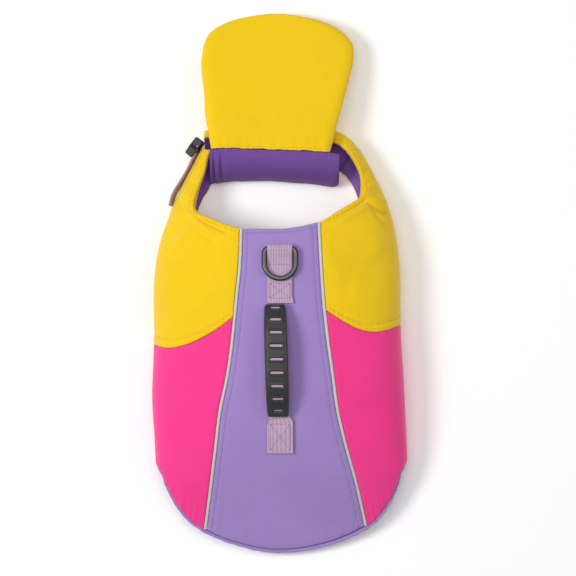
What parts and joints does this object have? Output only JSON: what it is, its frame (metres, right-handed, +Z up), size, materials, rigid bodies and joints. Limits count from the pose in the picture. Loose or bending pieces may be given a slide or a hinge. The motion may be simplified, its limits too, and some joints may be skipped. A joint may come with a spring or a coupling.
{
  "type": "dog life jacket",
  "caption": "Padded dog life jacket with chin float, chest pad, lifting handle with rubber grip, leash ring, belly wings and buckled belts, lying back up.",
  "frame": {"origin": "middle of the belly, on the surface that the jacket lies on", "axes": "+Y towards the chin float, +X towards the jacket's right side, +Z up, away from the surface"},
  "size_m": [0.2547, 0.5412, 0.102],
  "materials": {
    "yellow_cloth": "plain woven polyester, matt, sewn over foam",
    "pink_cloth": "plain woven polyester, matt, sewn over foam",
    "lavender_cloth": "fine woven polyester, matt, sewn over foam",
    "purple_lining": "smooth dark purple lining cloth",
    "webbing": "ribbed polyester webbing",
    "reflective_piping": "light grey reflective tape folded over a cord",
    "black_rubber": "moulded matt rubber",
    "black_plastic": "moulded black plastic with a fine grain",
    "ring_metal": "dark grey coated metal with a soft shine"
  },
  "bodies": {
    "jacket": {"spine_panel": "lavender_cloth", "piping_left": "reflective_piping", "piping_right": "reflective_piping", "yoke_left": "yellow_cloth", "yoke_right": "yellow_cloth", "flank_left": "pink_cloth", "flank_right": "pink_cloth", "hem_roll": "lavender_cloth", "lining_left": "purple_lining", "lining_right": "purple_lining", "front_band": "yellow_cloth", "chest_pad": "purple_lining", "chin_float": "yellow_cloth", "wing_left": "pink_cloth", "wing_right": "pink_cloth", "belt_socket_front": "black_plastic", "belt_plug_front": "black_plastic", "belt_left_front": "webbing", "belt_right_front": "webbing", "belt_socket_rear": "black_plastic", "belt_plug_rear": "black_plastic", "belt_left_rear": "webbing", "belt_right_rear": "webbing", "ring_webbing": "webbing", "handle_grip": "black_rubber", "handle_webbing": "webbing", "neck_webbing": "webbing", "neck_socket": "black_plastic", "neck_plug": "black_plastic"},
    "ring": {"d_ring": "ring_metal"}
  },
  "joints": [
    {"name": "ring_hinge", "type": "hinge", "parent": "jacket", "child": "ring", "pos_m": [0, 0.034, 0.0807], "axis": [-1, 0, 0], "range_deg": [0, 180]}
  ]
}
